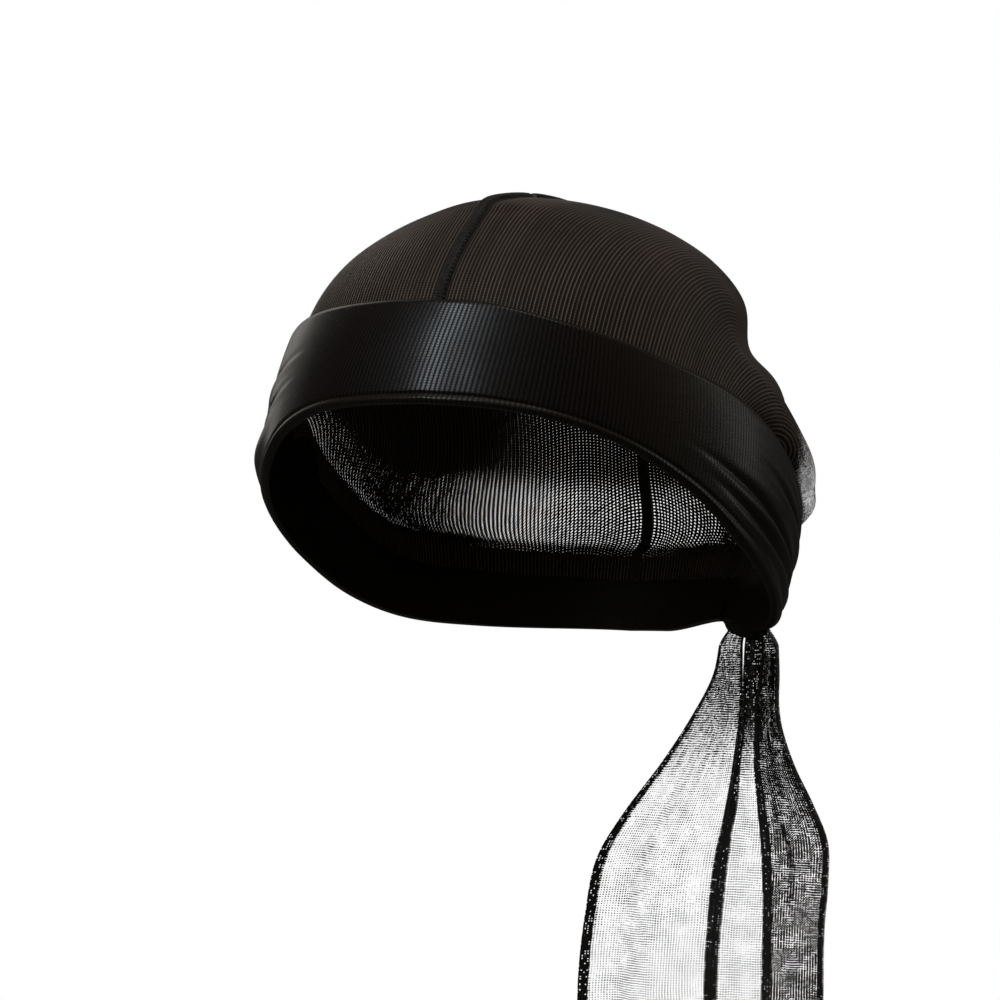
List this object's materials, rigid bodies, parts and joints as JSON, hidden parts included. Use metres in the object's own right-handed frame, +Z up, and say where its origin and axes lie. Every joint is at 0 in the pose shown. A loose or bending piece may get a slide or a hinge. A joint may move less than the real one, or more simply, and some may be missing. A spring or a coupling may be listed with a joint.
{
  "type": "durag",
  "caption": "Worn durag with a sheer ribbed crown, raised centre seam, satin brow band, gathered ties knotted low at the back and hanging hemmed tails.",
  "frame": {"origin": "top of the head, where the inside of the crown rests on it", "axes": "+Z up, -Y the way the wearer faces, +X the wearer's left"},
  "size_m": [0.1742, 0.192, 0.2795],
  "materials": {
    "sheer_knit": "sheer ribbed knit",
    "satin_knit": "satin",
    "gathered_knit": "gathered satin knit",
    "serged_thread": "matte thread",
    "tail_knit": "sheer open knit"
  },
  "bodies": {
    "root": {"crown_panel_left": "sheer_knit", "crown_panel_right": "sheer_knit", "crown_seam": "serged_thread", "brow_band": "satin_knit", "tie_wrap_left": "gathered_knit", "tie_wrap_right": "gathered_knit", "nape_knot": "gathered_knit", "tail_left": "tail_knit", "tail_right": "tail_knit"}
  },
  "joints": []
}
